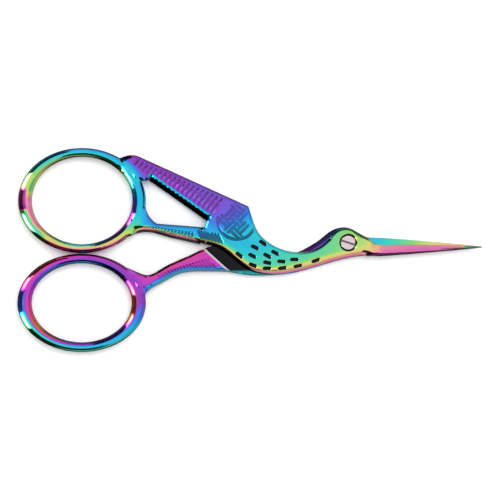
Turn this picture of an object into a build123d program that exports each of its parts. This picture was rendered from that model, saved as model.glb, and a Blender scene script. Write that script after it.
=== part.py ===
"""Stork embroidery scissors, lying flat with the blades closed.

X runs from the finger rings to the tip of the beak, Y from the belly to the wing, Z up from the table.
The origin is on the pivot axis, at the table. All sizes are millimetres.
"""
import os
from math import atan2, cos, degrees, hypot, radians, sin

from build123d import *

# Reach along X, from the pivot axis
blade_length = 33.6
head_reach = 5.3
body_length = 36.0
leg_length = 14.3

# Rise and drop along Y, from the pivot axis
body_depth = 8.2
shoulder_reach = 24.7
shoulder_rise = 9.0
front_ring_rise = 10.5

# Finger rings: outer size, and the width of the band at the sides and at the top
front_ring_width = 31.8
front_ring_height = 26.2
front_band_side = 3.3
front_band_top = 2.2
rear_ring_width = 32.0
rear_ring_height = 24.5
rear_band_side = 3.5
rear_band_top = 2.4
ring_gap = 0.15
ring_thickness = 4.0
ring_rounding = 1.0

# Thickness along Z
plate_thickness = 2.15
running_gap = 0.06
side_bevel_width = 1.2
side_bevel_drop = 2.9
rear_bevel_width = 0.7
neck_bevel_width = 0.9
neck_bevel_drop = 1.5

# Blades
blade_width = 4.7
tip_drop = 1.08

# Pivot screw
shank_diameter = 2.4
shank_clearance = 0.04
screw_head_diameter = 3.8
screw_head_height = 0.95
screw_head_sink = 0.07
head_seat_clearance = 0.03
head_side_clearance = 0.25
shank_fit = 0.01
screw_slot_width = 0.5
screw_slot_depth = 0.4
screw_slot_angle = -18.0

# Carving
groove_depth = 0.28
rib_width = 0.42
rib_pitch = 1.25
leg_rib_pitch = 0.85
dash_length = 2.0
dash_width = 0.65
knot_radius = 4.7
knot_pitch = 2.3
knot_strand = 1.05
knot_line = 0.38

# Slant of the carving, in degrees
thigh_rib_lean = 35.0
rear_rib_lean = 25.0
knot_slant = 45.0
knot_rim_start = 172.0
knot_rim_sweep = 160.0

# Length that every cut runs past the metal
overrun = 1.0

total_thickness = 2 * plate_thickness + running_gap
front_floor = plate_thickness + running_gap
ring_floor = (total_thickness - ring_thickness) / 2
counterbore_depth = head_seat_clearance + screw_head_height + screw_head_sink
rear_ring_drop = front_ring_height / 2 - front_ring_rise + ring_gap + rear_ring_height / 2


def body_points(shares):
    """Points from shares of the body's length along X and of its depth along Y."""
    return [(x * body_length, y * body_depth) for x, y in shares]


class Ring:
    """Centre and outer half sizes of a finger ring, and points placed by shares of them."""

    def __init__(self, rise, width, height, band_side, band_top):
        self.x = -(body_length + leg_length + width / 2)
        self.y = rise
        self.half_width = width / 2
        self.half_height = height / 2
        self.band_side = band_side
        self.band_top = band_top

    def at(self, x_share, y_share):
        return (self.x + x_share * self.half_width, self.y + y_share * self.half_height)


def between(start, end, share, lift=0):
    """The point at a share of the way from start to end, lifted square to that line."""
    dx = end[0] - start[0]
    dy = end[1] - start[1]
    run = hypot(dx, dy)
    return (start[0] + dx * share - dy / run * lift, start[1] + dy * share + dx / run * lift)


front_ring = Ring(front_ring_rise, front_ring_width, front_ring_height, front_band_side, front_band_top)
rear_ring = Ring(-rear_ring_drop, rear_ring_width, rear_ring_height, rear_band_side, rear_band_top)

# How far the ribs run across the wing, the lower legs and the thigh
wing_rib_share = 0.68
leg_rib_share = 0.55
thigh_rib_share = 0.72

# How far a leg reaches into a ring's band, and the most that the band can be rounded
ring_bite_share = 0.36
ring_rounding_share = 0.46

# Outline shares of the body, chosen by hand: X by the body's length, Y by its depth
front_back_shares = [
    (-0.658, 0.700),
    (-0.612, 0.268),
    (-0.550, 0.010),
    (-0.444, -0.220),
    (-0.333, -0.293),
    (-0.222, -0.195),
    (-0.139, 0.073),
    (-0.100, 0.280),
    (-0.045, 0.425),
    (0.010, 0.433),
    (0.070, 0.300),
]
front_belly_shares = [
    (0.000, -0.500),
    (-0.139, -0.655),
    (-0.278, -0.835),
    (-0.417, -0.960),
    (-0.556, -1.005),
    (-0.667, -0.925),
    (-0.750, -0.720),
    (-0.833, -0.410),
    (-0.917, -0.175),
    (-1.000, -0.073),
]
rear_back_shares = [
    (-0.900, -0.060),
    (-0.780, -0.030),
    (-0.667, -0.040),
    (-0.556, -0.125),
    (-0.444, -0.300),
    (-0.347, -0.285),
    (-0.278, -0.146),
    (-0.222, 0.000),
    (-0.167, 0.183),
    (-0.111, 0.366),
    (-0.055, 0.460),
    (0.000, 0.460),
    (0.070, 0.320),
]
rear_belly_shares = [
    (0.000, -0.470),
    (-0.139, -0.630),
    (-0.278, -0.810),
    (-0.417, -0.950),
    (-0.556, -0.998),
    (-0.694, -0.988),
    (-0.833, -0.895),
    (-0.972, -0.878),
]

# Where the head of each half meets its blade, above and below
front_head_top = (head_reach, 0.135 * body_depth)
front_head_low = (head_reach, -0.430 * body_depth)
rear_head_top = (head_reach, 0.150 * body_depth)
rear_head_low = (head_reach, -0.390 * body_depth)

# Points of the legs and the wing
tail_root = front_ring.at(0.579, 0.785)
tail_top = front_ring.at(0.760, 0.860)
tail_corner = front_ring.at(0.920, 0.820)
shoulder = (-shoulder_reach, shoulder_rise)
front_leg_end = body_points(front_belly_shares)[-1]
front_leg_root = front_ring.at(1.010, -0.600)
window_wing_corner = front_ring.at(1.045, 0.385)
window_leg_corner = front_ring.at(1.170, -0.440)
window_top_right = (-0.975 * body_length, 0.655 * body_depth)
window_low_right = (-0.990 * body_length, 0.465 * body_depth)
rear_leg_top = (-0.985 * body_length, -0.165 * body_depth)
rear_leg_root_top = rear_ring.at(1.015, 0.565)
rear_leg_root_low = rear_ring.at(1.020, 0.220)


def ring_core(ring):
    """Half sizes of the region that only the ring fills: legs and wing stop a little inside its band."""
    bite = ring_bite_share * min(ring.band_side, ring.band_top)
    return (ring.half_width - bite, ring.half_height - bite)


def front_plan():
    """Wing, body, neck, head and leg of the front half seen from above, without its ring."""
    back = [*body_points(front_back_shares), front_head_top]
    belly = [front_head_low, *body_points(front_belly_shares)]
    with BuildSketch() as plan:
        with BuildLine():
            Line(front_ring.at(0, 0), tail_root)
            ThreePointArc(tail_root, tail_top, tail_corner)
            Line(tail_corner, shoulder)
            Spline(shoulder, *back)
            Line(back[-1], belly[0])
            Spline(
                *belly,
                between(front_leg_end, front_leg_root, 0.3),
                between(front_leg_end, front_leg_root, 0.65),
                front_leg_root,
                front_ring.at(0.830, -0.640),
                front_ring.at(0.600, -0.790),
            )
            Line(front_ring.at(0.600, -0.790), front_ring.at(0, 0))
        make_face()
        with BuildLine():
            Line(front_ring.at(0.880, 0.360), window_wing_corner)
            Line(window_wing_corner, window_top_right)
            Line(window_top_right, window_low_right)
            Line(window_low_right, window_leg_corner)
            ThreePointArc(window_leg_corner, front_ring.at(1.060, -0.310), front_ring.at(0.990, -0.080))
            Line(front_ring.at(0.990, -0.080), front_ring.at(0.900, -0.080))
            Line(front_ring.at(0.900, -0.080), front_ring.at(0.880, 0.360))
        make_face(mode=Mode.SUBTRACT)
        with Locations(front_ring.at(0, 0)):
            Ellipse(*ring_core(front_ring), mode=Mode.SUBTRACT)
    return plan.sketch


def rear_plan():
    """Leg, belly, neck and head of the rear half seen from above, without its ring."""
    back = [*body_points(rear_back_shares), rear_head_top]
    belly = [rear_head_low, *body_points(rear_belly_shares)]
    with BuildSketch() as plan:
        with BuildLine():
            Line(rear_ring.at(0, 0), rear_ring.at(0.640, 0.740))
            Spline(
                rear_ring.at(0.640, 0.740),
                rear_ring.at(0.840, 0.640),
                rear_leg_root_top,
                between(rear_leg_root_top, rear_leg_top, 0.3),
                between(rear_leg_root_top, rear_leg_top, 0.7),
                rear_leg_top,
                *back,
            )
            Line(back[-1], belly[0])
            Spline(
                *belly,
                rear_ring.at(1.530, 0.590),
                rear_ring.at(1.270, 0.420),
                rear_leg_root_low,
                rear_ring.at(0.950, -0.120),
            )
            Line(rear_ring.at(0.950, -0.120), rear_ring.at(0, 0))
        make_face()
        with Locations(rear_ring.at(0, 0)):
            Ellipse(*ring_core(rear_ring), mode=Mode.SUBTRACT)
    return plan.sketch


def ring_solid(ring):
    """A finger ring with its edges rounded over."""
    rounding = min(ring_rounding, ring_rounding_share * min(ring.band_side, ring.band_top, ring_thickness))
    with BuildPart() as band:
        with BuildSketch(Plane.XY.offset(ring_floor)):
            with Locations(ring.at(0, 0)):
                Ellipse(ring.half_width, ring.half_height)
                Ellipse(
                    ring.half_width - ring.band_side,
                    ring.half_height - ring.band_top,
                    mode=Mode.SUBTRACT,
                )
        extrude(amount=ring_thickness)
        fillet(band.edges(), rounding)
    return band.part


# Blade sections from root to tip: X by the way from the head to the tip; cutting edge, ridge and spine by
# the width of the closed pair; thickness by the plate's; height of the edge and of the spine by its own
blade_shares = [
    (-0.025, 0.443, -0.281, -0.515, 1.00, 0.97, 0.45),
    (0.000, 0.443, -0.281, -0.504, 1.00, 0.85, 0.45),
    (0.050, 0.155, -0.313, -0.498, 0.96, 0.45, 0.45),
    (0.130, 0.102, -0.323, -0.483, 0.90, 0.25, 0.40),
    (0.343, 0.123, -0.270, -0.387, 0.75, 0.18, 0.40),
    (0.696, 0.102, -0.143, -0.209, 0.50, 0.20, 0.45),
    (0.873, 0.060, -0.068, -0.115, 0.38, 0.25, 0.50),
    (1.000, 0.021, -0.004, -0.036, 0.20, 0.50, 0.50),
]

# Feather marks: X by the body's length, Y by its depth, and the angle of each
dash_shares = [
    (-0.751, -0.384, -37),
    (-0.661, -0.402, -27),
    (-0.643, -0.146, -25),
    (-0.588, -0.012, -34),
    (-0.558, -0.402, -29),
    (-0.503, -0.311, -29),
    (-0.557, -0.610, -12),
    (-0.460, -0.573, -5),
    (-0.371, -0.512, 0),
    (-0.224, -0.543, 20),
    (-0.657, -0.690, -20),
    (-0.560, -0.785, 0),
    (-0.454, -0.775, 8),
    (-0.347, -0.712, 11),
]

# Where the front half is thinned underneath to lie over the rear half, and the step on top of the rear half
pocket_shares = [(-1.020, 0.040), (-0.680, 0.060), (-0.600, 0.420), (-0.560, 1.300)]
pocket_far_shares = [(0.200, 1.300), (0.200, -1.300), (-1.020, -1.300)]
step_shares = [(-1.050, 0.103), (-0.739, -1.125)]
step_far_shares = [(0.200, -1.300), (0.200, 1.300), (-1.050, 1.300)]
knot_centre = (-0.769 * body_length, 0.668 * body_depth)

# How far a bevel's cutting wedge runs past both of its ends
bevel_overrun_share = 0.15


def inset(points, distance):
    """An open run of points moved square to itself, to its left for a positive distance."""
    moved = []
    for index, point in enumerate(points):
        before = points[max(index - 1, 0)]
        after = points[min(index + 1, len(points) - 1)]
        run = hypot(after[0] - before[0], after[1] - before[1])
        across = (before[1] - after[1]) / run * distance
        along = (after[0] - before[0]) / run * distance
        moved.append((point[0] + across, point[1] + along))
    return moved


def bevel_cut(points, width, drop, top):
    """What a bevel takes off a side wall: its width at the top, nothing at its drop. Metal is on the left."""
    far = inset(points, -2 * width)
    levels = [
        (top - drop * (1 + bevel_overrun_share), -width * bevel_overrun_share),
        (top + drop * bevel_overrun_share, width * (1 + bevel_overrun_share)),
    ]
    with BuildPart() as wedge:
        for level, distance in levels:
            edge = inset(points, distance)
            with BuildSketch(Plane.XY.offset(level)):
                with BuildLine():
                    if len(edge) > 2:
                        Spline(*edge)
                        Spline(*far)
                    else:
                        Line(*edge)
                        Line(*far)
                    Line(edge[0], far[0])
                    Line(edge[-1], far[-1])
                make_face()
        loft(ruled=True)
    return wedge.part


def blade_solid(side):
    """A blade with a flat inner face, a cutting edge, a ridge and a spine; side is +1 in front, -1 behind."""
    inner = front_floor if side > 0 else plate_thickness
    with BuildPart() as blade:
        for x_share, edge_share, ridge_share, spine_share, thick_share, *height_shares in blade_shares:
            edge, ridge, spine = [
                side * blade_width * share - tip_drop for share in (edge_share, ridge_share, spine_share)
            ]
            thick = side * plate_thickness * thick_share
            with BuildSketch(Plane.YZ.offset(head_reach + (blade_length - head_reach) * x_share)):
                with BuildLine():
                    Polyline(
                        (edge, inner),
                        (edge, inner + thick * height_shares[0]),
                        (ridge, inner + thick),
                        (spine, inner + thick * height_shares[1]),
                        (spine, inner),
                        close=True,
                    )
                make_face()
        loft(ruled=True)
    return blade.part


def rib_marks(low, high, pitch, lean, reach_share):
    """Parallel grooves on the metal between two lines: centre, length and angle of each."""
    run = hypot(low[1][0] - low[0][0], low[1][1] - low[0][1])
    along = ((low[1][0] - low[0][0]) / run, (low[1][1] - low[0][1]) / run)
    angle = degrees(atan2(along[1], along[0])) + 90 + lean
    aim = (cos(radians(angle)), sin(radians(angle)))
    across = (high[1][0] - high[0][0], high[1][1] - high[0][1])
    marks = []
    for index in range(int(run / pitch) + 1):
        foot = (low[0][0] + along[0] * pitch * index, low[0][1] + along[1] * pitch * index)
        gap = (high[0][0] - foot[0], high[0][1] - foot[1])
        reach = (gap[0] * across[1] - gap[1] * across[0]) / (aim[0] * across[1] - aim[1] * across[0])
        length = reach * reach_share
        marks.append((foot[0] + aim[0] * length / 2, foot[1] + aim[1] * length / 2, length, angle))
    return marks


def slots(marks, width, level):
    """Slots for engraving, from the centre, length and angle of each."""
    with BuildSketch(Plane.XY.offset(level)) as cuts:
        for x, y, length, angle in marks:
            with Locations(Location((x, y, 0), (0, 0, angle))):
                SlotOverall(max(length, 1.5 * width), width)
    return cuts.sketch


def below_wing_edge(x, y):
    """How far a point lies below the straight top edge of the wing."""
    slope_x = shoulder[0] - tail_corner[0]
    slope_y = shoulder[1] - tail_corner[1]
    return ((x - tail_corner[0]) * slope_y - (y - tail_corner[1]) * slope_x) / hypot(slope_x, slope_y)


def knot_marks():
    """A woven lattice of double lines inside the knot's circle, each strand broken where it passes under."""
    marks = []
    reach = int(knot_radius / knot_pitch) + 1
    crossings = [(row, column) for row in range(-reach, reach + 1) for column in range(-reach, reach + 1)]
    for row, column in crossings:
        along = (row + column) * knot_pitch * cos(radians(knot_slant))
        up = (row - column) * knot_pitch * sin(radians(knot_slant))
        x = knot_centre[0] + along
        y = knot_centre[1] + up
        if hypot(along, up) > knot_radius - knot_strand or below_wing_edge(x, y) < knot_strand:
            continue
        if x > -shoulder_reach - knot_strand / 2:
            continue
        angle = knot_slant if (row + column) % 2 else -knot_slant
        for side in (-1, 1):
            off_x = -sin(radians(angle)) * side * knot_strand / 2
            off_y = cos(radians(angle)) * side * knot_strand / 2
            marks.append((x + off_x, y + off_y, 2 * knot_pitch - knot_strand - 2 * knot_line, angle))
    return marks


def knot_rim(level):
    """The arc that bounds the knot."""
    with BuildSketch(Plane.XY.offset(level)) as rim:
        with Locations(knot_centre):
            SlotArc(
                CenterArc((0, 0), knot_radius, knot_rim_start, knot_rim_sweep, mode=Mode.PRIVATE),
                knot_line,
            )
    return rim.sketch


def body_outline(shares, level):
    """A straight-sided region from shares of the body's length and depth."""
    with BuildSketch(Plane.XY.offset(level)) as region:
        with BuildLine():
            Polyline(*body_points(shares), close=True)
        make_face()
    return region.sketch


front_part_plan = front_plan()
rear_part_plan = rear_plan()
front_belly_run = [front_ring.at(0.830, -0.640), front_leg_root]
front_belly_run += [between(front_leg_root, front_leg_end, 0.35), between(front_leg_root, front_leg_end, 0.7)]
front_belly_run += [*reversed(body_points(front_belly_shares)), front_head_low]
rear_belly_run = [rear_leg_root_low, rear_ring.at(1.270, 0.420), rear_ring.at(1.530, 0.590)]
rear_belly_run += [*reversed(body_points(rear_belly_shares)), rear_head_low]
rear_neck_run = [rear_head_top, *reversed(body_points(rear_back_shares[4:]))]

wing_low = (window_wing_corner, window_top_right)
wing_high = (tail_corner, shoulder)
front_leg_low = (front_ring.at(1.090, -0.610), front_ring.at(1.755, -0.752))
front_leg_high = (window_leg_corner, window_low_right)
front_thigh_low = body_points([(-1.005, 0.080), (-0.865, -0.035)])
front_thigh_high = body_points([(-1.000, 0.440), (-0.860, 0.330)])
rear_leg_low = (rear_ring.at(1.240, 0.500), rear_ring.at(2.130, 0.690))
rear_leg_high = (rear_leg_root_top, rear_leg_top)

front_ribs = rib_marks(inset(wing_low, side_bevel_width), wing_high, rib_pitch, 0, wing_rib_share)
front_leg_ribs = rib_marks(front_leg_low, front_leg_high, leg_rib_pitch, 0, leg_rib_share)
front_leg_ribs += rib_marks(
    front_thigh_low, front_thigh_high, leg_rib_pitch, thigh_rib_lean, thigh_rib_share
)
rear_leg_ribs = rib_marks(rear_leg_low, rear_leg_high, leg_rib_pitch, rear_rib_lean, leg_rib_share)
dashes = [(x * body_length, y * body_depth, dash_length, angle) for x, y, angle in dash_shares]

with BuildPart() as front_half:
    add(front_part_plan)
    extrude(amount=total_thickness)
    add(bevel_cut(front_belly_run, side_bevel_width, side_bevel_drop, total_thickness), mode=Mode.SUBTRACT)
    add(bevel_cut(wing_low, side_bevel_width, side_bevel_drop, total_thickness), mode=Mode.SUBTRACT)
    add(body_outline(pocket_shares + pocket_far_shares, -overrun))
    extrude(amount=overrun + front_floor, mode=Mode.SUBTRACT)
    add(ring_solid(front_ring))
    add(blade_solid(1))
    for level in (total_thickness - groove_depth, -overrun):
        add(slots(front_ribs + front_leg_ribs, rib_width, level))
        add(slots(knot_marks(), knot_line, level))
        add(knot_rim(level))
        extrude(amount=groove_depth + overrun, mode=Mode.SUBTRACT)
    add(slots(dashes, dash_width, total_thickness - groove_depth))
    extrude(amount=groove_depth + overrun, mode=Mode.SUBTRACT)
    with Locations((0, 0, total_thickness)):
        CounterBoreHole(
            shank_diameter / 2 + shank_clearance,
            screw_head_diameter / 2 + head_side_clearance,
            counterbore_depth,
        )
front_half.part.label = "front_half"

with BuildPart() as rear_half:
    add(rear_part_plan)
    extrude(amount=total_thickness)
    add(bevel_cut(rear_belly_run, rear_bevel_width, side_bevel_drop, total_thickness), mode=Mode.SUBTRACT)
    add(body_outline(step_shares + step_far_shares, plate_thickness))
    extrude(amount=total_thickness + overrun - plate_thickness, mode=Mode.SUBTRACT)
    add(bevel_cut(rear_neck_run, neck_bevel_width, neck_bevel_drop, plate_thickness), mode=Mode.SUBTRACT)
    add(ring_solid(rear_ring))
    add(blade_solid(-1))
    for level in (total_thickness - groove_depth, -overrun):
        add(slots(rear_leg_ribs, rib_width, level))
        extrude(amount=groove_depth + overrun, mode=Mode.SUBTRACT)
    add(slots(dashes, dash_width, -overrun))
    extrude(amount=groove_depth + overrun, mode=Mode.SUBTRACT)
    Hole(shank_diameter / 2 + shank_fit)
rear_half.part.label = "rear_half"

head_seat = total_thickness - counterbore_depth + head_seat_clearance
with BuildPart() as pivot_screw:
    with BuildSketch():
        Circle(shank_diameter / 2)
    extrude(amount=head_seat)
    with BuildSketch(Plane.XY.offset(head_seat)):
        Circle(screw_head_diameter / 2)
    extrude(amount=screw_head_height)
    with BuildSketch(Plane.XY.offset(head_seat + screw_head_height - screw_slot_depth)):
        Rectangle(2 * screw_head_diameter, screw_slot_width, rotation=screw_slot_angle)
    extrude(amount=overrun, mode=Mode.SUBTRACT)
pivot_screw.part.label = "pivot_screw"

os.makedirs("parts", exist_ok=True)
for piece in (front_half, rear_half, pivot_screw):
    export_step(piece.part, f"parts/{piece.part.label}.step")
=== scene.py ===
"""Stork embroidery scissors with a rainbow-plated finish, closed on a pale table.

X runs from the finger rings to the beak, Y from the belly to the wing, Z up from the table, in metres.
The two halves are the construction model's own forms, cast soft: crowned faces, round finger rings,
eased carving. The pivot screw is turned from bare steel.
"""
import math

import bmesh
import bpy
import numpy as np
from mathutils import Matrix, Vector
from mathutils.bvhtree import BVHTree


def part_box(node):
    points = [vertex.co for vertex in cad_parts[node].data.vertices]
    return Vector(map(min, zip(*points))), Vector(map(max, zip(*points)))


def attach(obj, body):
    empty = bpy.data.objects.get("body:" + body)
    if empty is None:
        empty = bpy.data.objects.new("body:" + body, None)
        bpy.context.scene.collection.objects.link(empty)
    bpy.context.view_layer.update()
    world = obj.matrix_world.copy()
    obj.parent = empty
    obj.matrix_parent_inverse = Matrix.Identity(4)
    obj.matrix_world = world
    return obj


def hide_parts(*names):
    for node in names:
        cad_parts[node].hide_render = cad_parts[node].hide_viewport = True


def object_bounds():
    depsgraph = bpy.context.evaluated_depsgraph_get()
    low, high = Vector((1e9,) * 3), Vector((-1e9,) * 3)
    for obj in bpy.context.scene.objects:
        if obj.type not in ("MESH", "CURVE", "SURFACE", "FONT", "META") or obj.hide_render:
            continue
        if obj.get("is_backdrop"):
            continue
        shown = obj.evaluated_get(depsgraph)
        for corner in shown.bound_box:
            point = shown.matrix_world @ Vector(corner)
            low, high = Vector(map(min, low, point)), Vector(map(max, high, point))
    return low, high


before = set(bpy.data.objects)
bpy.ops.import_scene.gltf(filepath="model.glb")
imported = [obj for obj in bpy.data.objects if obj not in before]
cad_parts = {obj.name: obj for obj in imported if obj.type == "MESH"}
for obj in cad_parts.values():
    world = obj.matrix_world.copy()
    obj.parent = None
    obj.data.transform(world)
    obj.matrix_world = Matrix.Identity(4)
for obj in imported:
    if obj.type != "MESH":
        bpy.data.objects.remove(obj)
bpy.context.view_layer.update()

MM = 0.001

# Levels of the closed pair, measured on the construction model
FRONT_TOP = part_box("front_half")[1].z
SCREW_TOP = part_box("pivot_screw")[1].z
PARTING = FRONT_TOP / 2
CARVING_DEPTH = 0.28 * MM

# Finger rings: centre, outer half sizes, and the width of the band at the sides and at the top
FRONT_RING = {"x": -66.2 * MM, "y": 10.5 * MM, "half": (15.9 * MM, 13.1 * MM), "band": (3.3 * MM, 2.2 * MM)}
REAR_RING = {"x": -66.3 * MM, "y": -15.0 * MM, "half": (16.0 * MM, 12.25 * MM), "band": (3.5 * MM, 2.4 * MM)}
RING_MIDDLE = 2.18 * MM

# How the castings are softened: the mesh they are cast in, and the rounds of smoothing
VOXEL = 0.10 * MM
SKIN_ROUNDS = 5
RING_ROUNDS = 20
SPOT_ROUNDS = 200

# How the faces fall away at their outlines, and how far the materials' masks reach
CROWN_DROP = 0.28 * MM
CROWN_WIDTH = 2.6 * MM
EASE_DROP = 0.34 * MM
EASE_WIDTH = 0.6 * MM
BEVEL_REACH = 2.2 * MM
# The next two masks carry painted shade on the rear half's deck near the front half, and painted dark lines
# along the sheer outlines
PAINTED_SHADE_REACH = 3.0 * MM
RIM_REACH = 1.1 * MM
BLADE_START = 3.0 * MM
BLADE_FULL = 6.0 * MM
SCREW_CLEAR = 2.5 * MM
RING_TOP = 2.0 * MM
RING_ROUND = 0.95
OFF_RING = 1.02
EDGE_WEAR = (0.010 * MM, 0.045 * MM)
TRIANGLES = {"front": 180000, "rear": 140000}

# Grooves of the ribs and the knot: how deep they are left, how far their sides run out, and over what
# distance from the outline they come in on the wing and on the legs
SOFT_DEPTH = 0.09 * MM
WING_CLEAR = (0.60 * MM, 1.00 * MM)
LEG_CLEAR = (0.06 * MM, 0.28 * MM)
GROOVE_FLAT = 0.12 * MM
RIB_RUN_OUT = 0.30 * MM
LEG_RIB_RUN_OUT = 0.24 * MM
DASH_RUN_OUT = 0.06 * MM

# Ribs of the wing and the tail: foot of the first, step to the next, direction and length, in millimetres
WING_RIBS = {"foot": (-53.0, 19.4), "step": (1.025, -0.716), "aim": (0.573, 0.820), "count": 19}
WING_RIB_LENGTHS = [(-53.5, 2.2), (-50.5, 4.0), (-48.5, 5.0), (-34.0, 5.9)]

# Where the belly's bevel stops at the blade's root, and how it runs out, in millimetres
BEVEL_END = {"start": 4.5, "x": 5.3, "gone": 9.5, "top": -2.4, "width": 1.07, "drop": 1.18}

# The knot's circle, the corner that the feather marks fill, and the one of the ribbed legs, in millimetres
KNOT = (-27.7, 5.5, 5.1)
FEATHERS = {"start": -29.5, "top": 3.4}
LEGS = {"end": -30.5, "top": 4.6}

# The step where the rear half passes under the front one, along which a painted highlight runs: a point of it
# and the way across it
STEP = {"place": (-37.8, 0.84), "across": (0.669, 0.744)}

# Where the belly's edge passes into the front blade, in millimetres
BLADE_ROOT = (5.2, -2.7)

# Places that are blended by hand with the polishing wheel: x, y and radius in millimetres
FRONT_BLENDS = [
    (-52.9, 2.6, 2.6), (-51.6, 6.2, 2.6), (5.6, 0.2, 2.0), (5.2, -3.0, 2.6),
    (-52.2, 15.0, 1.6), (-50.4, 16.2, 0.8), (-55.4, 19.9, 2.4), (-54.2, 18.4, 1.8),
]
REAR_BLENDS = [(-50.2, -12.2, 2.6), (-51.4, -8.4, 1.4), (-53.0, -8.0, 2.4)]


def from_srgb(*channels):
    """A colour as it looks on a screen, in the linear values that shaders use."""
    return [c / 12.92 if c <= 0.04045 else ((c + 0.055) / 1.055) ** 2.4 for c in channels] + [1.0]


def smooth_between(low, high, values):
    """0 below low, 1 above high, and an easy slope between them."""
    share = np.clip((values - low) / (high - low), 0, 1)
    return share * share * (3 - 2 * share)


def points_of(mesh):
    """The mesh's vertices as an array with one row each."""
    flat = np.zeros(len(mesh.vertices) * 3, np.float32)
    mesh.vertices.foreach_get("co", flat)
    return flat.reshape(-1, 3).astype(float)


def normals_of(mesh):
    """The mesh's vertex normals as an array with one row each."""
    flat = np.zeros(len(mesh.vertices) * 3, np.float32)
    mesh.vertex_normals.foreach_get("vector", flat)
    return flat.reshape(-1, 3).astype(float)


def move_points(mesh, points):
    """Puts the mesh's vertices where the array says."""
    mesh.vertices.foreach_set("co", points.astype(np.float32).ravel())
    mesh.update()


def with_modifier(piece, kind, **settings):
    """Applies one modifier to the piece's mesh."""
    modifier = piece.modifiers.new(kind.lower(), kind)
    for name, value in settings.items():
        setattr(modifier, name, value)
    graph = bpy.context.evaluated_depsgraph_get()
    done = bpy.data.meshes.new_from_object(piece.evaluated_get(graph))
    piece.modifiers.clear()
    old = piece.data
    piece.data = done
    bpy.data.meshes.remove(old)


def sharp_form(node):
    """A copy of a construction mesh, merged into one closed skin."""
    form = bmesh.new()
    form.from_mesh(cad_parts[node].data)
    bmesh.ops.remove_doubles(form, verts=form.verts, dist=0.0005 * MM)
    bmesh.ops.recalc_face_normals(form, faces=form.faces)
    return form


def tree_of(form, wanted):
    """A search tree over the faces that wanted picks, or None where it picks none."""
    faces = [[v.index for v in face.verts] for face in form.faces if wanted(face)]
    return BVHTree.FromPolygons([v.co for v in form.verts], faces) if faces else None


def distances(tree, points, reach):
    """How far each point lies from the tree's faces, up to reach."""
    found = [tree.find_nearest(Vector(point), reach)[3] for point in points]
    return np.array([reach if gap is None else gap for gap in found])


def is_wall(face):
    """Faces of the outline and of the bevels, but not of the carving or of the screw's seat."""
    centre = face.calc_center_median()
    if math.hypot(centre.x, centre.y) < SCREW_CLEAR or abs(face.normal.z) > 0.9:
        return False
    heights = [v.co.z for v in face.verts]
    reach = 2 * CARVING_DEPTH
    return min(heights) < FRONT_TOP - reach and max(heights) > reach


def is_sheer(face):
    """Faces of the outline that stand square to the table."""
    return is_wall(face) and abs(face.normal.z) < 0.2


def is_bevel(face, ring):
    """The sloped faces along the belly, the legs, the neck and the window, but not a ring's rounding."""
    centre = face.calc_center_median()
    if not 0.2 < face.normal.z < 0.6 or centre.x > BLADE_FULL:
        return False
    return is_wall(face) and across_band(ring, centre.x, centre.y) > OFF_RING


def is_front_wall(face):
    """Walls of the front half away from its ring, near which the rear half's deck is painted dark as shade.
    """
    centre = face.calc_center_median()
    return is_wall(face) and across_band(FRONT_RING, centre.x, centre.y) > OFF_RING


def is_carved_floor(face):
    """Flat floors of the ribs, the feather marks and the knot, on the upper and the under side."""
    height = face.calc_center_median().z
    up = face.normal.z > 0.99 and abs(height - (FRONT_TOP - CARVING_DEPTH)) < 0.02 * MM
    down = face.normal.z < -0.99 and abs(height - CARVING_DEPTH) < 0.02 * MM
    return up or down


def soften_carving(mesh, floors, gaps):
    """Turns the square-cut ribs and knot into shallow rounded grooves, and keeps the feather marks crisp."""
    points = points_of(mesh)
    x, y, z = points.T
    reach = np.full(len(points), 1.0)
    for index in np.flatnonzero((z > FRONT_TOP - 2 * CARVING_DEPTH) | (z < 2 * CARVING_DEPTH)):
        hit = floors.find_nearest(Vector(points[index]), 0.6 * MM)[0]
        if hit is not None:
            reach[index] = math.hypot(hit.x - x[index], hit.y - y[index])
    feathers = (x > FEATHERS["start"] * MM) & (y < FEATHERS["top"] * MM)
    feathers &= np.hypot(x - KNOT[0] * MM, y - KNOT[1] * MM) > KNOT[2] * MM
    legs = (x < LEGS["end"] * MM) & (y < LEGS["top"] * MM)
    run_out = np.where(feathers, DASH_RUN_OUT, np.where(legs, LEG_RIB_RUN_OUT, RIB_RUN_OUT))
    depth = np.where(feathers, CARVING_DEPTH, SOFT_DEPTH)
    carved = 1 - smooth_between(0, 1, reach / run_out)
    near_edge = np.where(legs, smooth_between(*LEG_CLEAR, gaps), smooth_between(*WING_CLEAR, gaps))
    carved *= np.where(feathers, 1.0, near_edge)
    side = np.where(z > PARTING, FRONT_TOP, 0.0)
    inward = np.where(z > PARTING, -1.0, 1.0)
    on_face = np.abs(z - side) < 0.03 * MM
    touched = (reach < 1.0) & (on_face | (reach < 0.06 * MM))
    points[:, 2] = np.where(touched, side + inward * depth * carved, z)
    # The feather marks are painted dark as shade in their recesses, this far from their floors
    darkened = 1 - smooth_between(0.03 * MM, 0.11 * MM, reach)
    carved = np.where(touched, np.where(feathers, darkened, carved), 0.0)
    extra = wing_ribs(x, y) * smooth_between(*WING_CLEAR, gaps)
    extra = np.where(on_face & (z > PARTING) & (across_band(FRONT_RING, x, y) > 1.15), extra, 0.0)
    points[:, 2] = np.minimum(points[:, 2], np.where(extra > 0, FRONT_TOP - SOFT_DEPTH * extra, points[:, 2]))
    carved = np.maximum(carved, extra)
    move_points(mesh, points)
    return carved


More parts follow.
